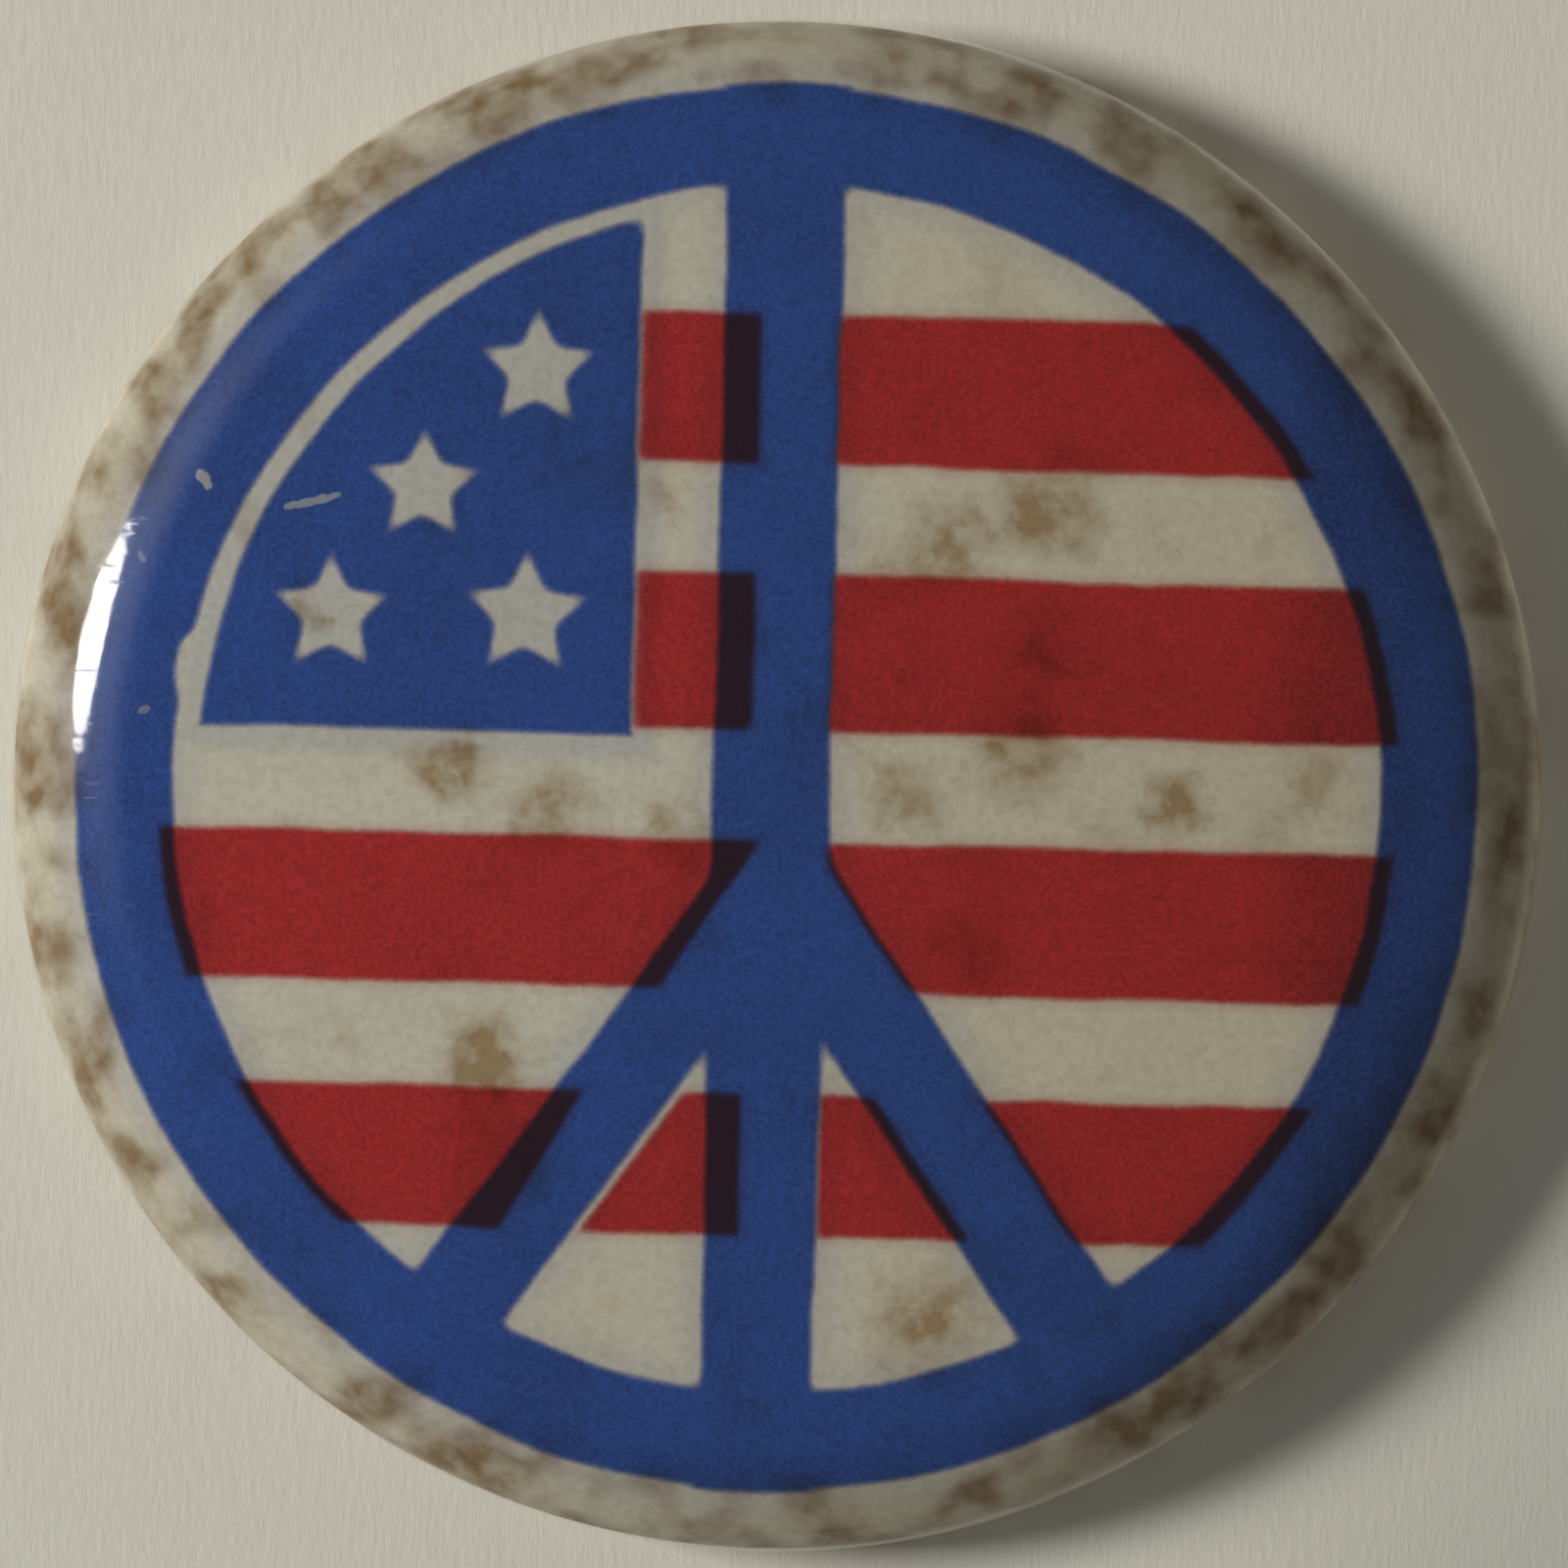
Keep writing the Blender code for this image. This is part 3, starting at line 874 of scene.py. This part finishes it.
def board_paper():
    """Pale laid paper, with painted light making it lighter towards the right and painted shade in
    the lower right corner.  It shows only from its front, so that the back of the badge can be
    seen.
    """
    shade = Shade("board_paper")
    streaks = shade.noise(1.0, 4.0, 0.65, stretch=(6.5, 1.0, 1.7))
    clouds = shade.noise(0.12, 3.0, 0.5)
    pulp = shade.noise(3.5, 3.0, 0.6)
    colour = shade.mix(streaks.ramp(0.35, 0.75) * 0.30, BOARD_COLOUR, linear(214, 211, 200))
    colour = shade.mix(clouds * 0.25, colour, linear(215, 213, 205))
    # Painted light: the sheet is made lighter towards the right
    colour = shade.mix(shade.x.ramp(-6.0, 16.0) * 0.55, colour, linear(236, 234, 224))
    # Painted shade: the sheet is darkened towards the lower right corner
    painted_corner_shade = shade.x.ramp(6.0, 22.0) * shade.up.ramp(-4.0, -22.0)
    colour = shade.mix(painted_corner_shade * 0.26, colour, linear(120, 118, 112))
    normal = shade.bump(streaks, 0.018)
    normal = shade.bump(pulp, 0.010, normal)
    paper = shade.surface(
        "ShaderNodeBsdfPrincipled", Base_Color=colour, Roughness=0.9, Normal=normal,
        Specular_IOR_Level=0.1,
    )
    geometry = shade.node("ShaderNodeNewGeometry")
    behind = Signal(shade, geometry.outputs["Backfacing"])
    facing = shade.node("ShaderNodeLayerWeight").outputs["Facing"]
    edge_on = Signal(shade, facing).ramp(0.80, 0.92)
    camera = Signal(shade, shade.node("ShaderNodeLightPath").outputs["Is Camera Ray"])
    radius = shade.math("SQRT", shade.x * shade.x + shade.up * shade.up)
    covered = (1.0 - camera) * radius.ramp(BADGE_RADIUS, BADGE_RADIUS - 0.3)
    hidden = behind.most(edge_on * camera).most(covered)
    gone = shade.surface("ShaderNodeBsdfTransparent", Color=WHITE)
    return shade.finish(shade.mix_surfaces(hidden, paper, gone))


# ---------------------------------------------------------------- building

def add_piece(item, body, nodes, material):
    item.data.materials.append(material)
    if body:
        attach(item, body)
    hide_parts(*nodes)
    return item


def build_badge():
    film = turned("film_cover", layer_chain(FILM_LAYER), False, wrap_ripple)
    add_piece(film, "badge_body", ["clear_film"], clear_film())
    paper = turned("paper_disc", layer_chain(PAPER_LAYER), False, wrap_ripple)
    add_piece(paper, "badge_body", ["printed_paper"], printed_paper())
    shell = turned("pressed_shell", layer_chain(TINPLATE_LAYER), False, no_ripple)
    add_piece(shell, "badge_body", ["front_shell"], tinplate())
    collet = turned("collet", collet_chain(), True, collet_ripple)
    add_piece(collet, "badge_body", ["collet_ring"], plated_steel())

    wire_finish = spring_steel()
    points = ring_path()
    radii = [WIRE_RADIUS] * len(points)
    end_rounding(points, radii, 0.25)
    ring = swept_wire("wire_ring_and_hook", points, radii)
    add_piece(ring, "pin_ring", ["pin_wire_ring"], wire_finish)

    points = needle_path()
    radii = []
    for point in points:
        to_tip = NEEDLE_TIP_X - point.x
        taper = min(1.0, to_tip / POINT_LENGTH) if point.x > 0 else 1.0
        radii.append(WIRE_RADIUS * max(0.05, taper ** 0.8))
    needle = swept_wire("wire_bend_and_needle", points, radii)
    add_piece(needle, None, ["pin_needle"], wire_finish)
    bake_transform(needle)


BOARD_REACH = 160.0
BOARD_STEPS = 40
BOARD_Z = -0.02  # just clear of the badge's back


def build_board():
    """A pale sheet just behind the badge, finely divided."""
    vertices = []
    faces = []
    for row in range(BOARD_STEPS + 1):
        for column in range(BOARD_STEPS + 1):
            x = -BOARD_REACH + 2 * BOARD_REACH * column / BOARD_STEPS
            y = -BOARD_REACH + 2 * BOARD_REACH * row / BOARD_STEPS
            vertices.append(upright(x, y, BOARD_Z))
    for row in range(BOARD_STEPS):
        for column in range(BOARD_STEPS):
            corner = row * (BOARD_STEPS + 1) + column
            above = corner + BOARD_STEPS + 1
            faces.append((corner, corner + 1, above + 1, above))
    mesh = bpy.data.meshes.new("board")
    mesh.from_pydata(vertices, [], faces)
    mesh.materials.append(board_paper())
    board = bpy.data.objects.new("board", mesh)
    bpy.context.scene.collection.objects.link(board)
    board.visible_shadow = False


def direction(off_axis, raised):
    """From the badge towards a light: off the face's axis, and round from the left, upwards."""
    off_axis, raised = math.radians(off_axis), math.radians(raised)
    return Vector((
        -math.sin(off_axis) * math.cos(raised), -math.cos(off_axis),
        math.sin(off_axis) * math.sin(raised),
    ))


def area_light(name, towards, distance, width, height, radiance, colour, shape="RECTANGLE"):
    """A flat light facing the badge; its strength is given as brightness, whatever its size."""
    data = bpy.data.lights.new(name, "AREA")
    data.shape = shape
    data.size = width * MM
    data.size_y = height * MM
    area = width * height * MM * MM
    if shape == "ELLIPSE":
        area *= math.pi / 4
    data.energy = radiance * math.pi * area
    data.color = colour
    light = bpy.data.objects.new(name, data)
    bpy.context.scene.collection.objects.link(light)
    light.location = towards * distance * MM
    light.rotation_mode = "QUATERNION"
    light.rotation_quaternion = towards.to_track_quat("Z", "Y")
    return light


def soften_edges(light, margin):
    """Lets a light's brightness fade out towards its edges, as a net curtain does."""
    light.data.use_nodes = True
    tree = light.data.node_tree
    emission = next(node for node in tree.nodes if node.type == "EMISSION")
    place = tree.nodes.new("ShaderNodeNewGeometry")
    split = tree.nodes.new("ShaderNodeSeparateXYZ")
    tree.links.new(place.outputs["Parametric"], split.inputs[0])
    strength = None
    for axis in (0, 1):
        for start, end in ((0.0, margin), (1.0, 1.0 - margin)):
            fade = tree.nodes.new("ShaderNodeMapRange")
            fade.interpolation_type = "SMOOTHSTEP"
            fade.inputs["From Min"].default_value = start
            fade.inputs["From Max"].default_value = end
            tree.links.new(split.outputs[axis], fade.inputs["Value"])
            if strength is None:
                strength = fade.outputs[0]
                continue
            product = tree.nodes.new("ShaderNodeMath")
            product.operation = "MULTIPLY"
            tree.links.new(strength, product.inputs[0])
            tree.links.new(fade.outputs[0], product.inputs[1])
            strength = product.outputs[0]
    tree.links.new(strength, emission.inputs["Strength"])


KEY_DISTANCE = 450.0
LAMP_DISTANCE = 300.0
WARM = (1.0, 0.97, 0.91)
NET = (1.0, 0.96, 0.90)


def build_lights():
    key = area_light(
        "key", direction(56.0, 8.0), KEY_DISTANCE,
        width=118.0, height=124.0, radiance=37.6, colour=WARM,
    )
    key.visible_glossy = False
    window = area_light(
        "window", direction(51.5, 12.3), LAMP_DISTANCE,
        width=90.0, height=73.0, radiance=26.0, colour=WARM, shape="ELLIPSE",
    )
    curtain = area_light(
        "curtain", direction(40.0, 18.0), LAMP_DISTANCE,
        width=250.0, height=260.0, radiance=1.5, colour=NET,
    )
    soften_edges(curtain, 0.5)
    for reflected in (window, curtain):
        reflected.visible_diffuse = False
    area_light(
        "rear_left", Vector((-0.55, 0.75, 0.36)), LAMP_DISTANCE,
        width=180.0, height=180.0, radiance=4.2, colour=WARM,
    )
    area_light(
        "rear_right", Vector((0.62, 0.70, 0.30)), LAMP_DISTANCE,
        width=160.0, height=160.0, radiance=2.2, colour=WARM,
    )


def build_world():
    world = bpy.data.worlds.new("studio")
    bpy.context.scene.world = world
    world.use_nodes = True
    tree = world.node_tree
    tree.nodes.clear()
    output = tree.nodes.new("ShaderNodeOutputWorld")
    seen = tree.nodes.new("ShaderNodeBackground")
    seen.inputs["Color"].default_value = linear(203, 200, 190)
    lighting = tree.nodes.new("ShaderNodeBackground")
    lighting.inputs["Color"].default_value = (0.145, 0.142, 0.133, 1.0)
    path = tree.nodes.new("ShaderNodeLightPath")
    choice = tree.nodes.new("ShaderNodeMixShader")
    tree.links.new(path.outputs["Is Camera Ray"], choice.inputs[0])
    tree.links.new(lighting.outputs[0], choice.inputs[1])
    tree.links.new(seen.outputs[0], choice.inputs[2])
    tree.links.new(choice.outputs[0], output.inputs["Surface"])


CAMERA_DISTANCE = 250.0
FRAME_WIDTH = 38.98
SENSOR_WIDTH = 36.0
CAMERA_OFFSET = (0.17, 0.02)


def build_camera():
    data = bpy.data.cameras.new("camera")
    data.sensor_width = SENSOR_WIDTH
    data.lens = SENSOR_WIDTH * CAMERA_DISTANCE / FRAME_WIDTH
    data.clip_start = 0.01
    data.clip_end = 10.0
    camera = bpy.data.objects.new("camera", data)
    bpy.context.scene.collection.objects.link(camera)
    camera.location = upright(CAMERA_OFFSET[0], CAMERA_OFFSET[1], SIDE_ARC_Z + CAMERA_DISTANCE)
    camera.rotation_euler = (math.pi / 2, 0.0, 0.0)
    bpy.context.scene.camera = camera


bpy.context.scene.view_settings.view_transform = "Standard"
build_badge()
build_board()
build_lights()
build_world()
build_camera()
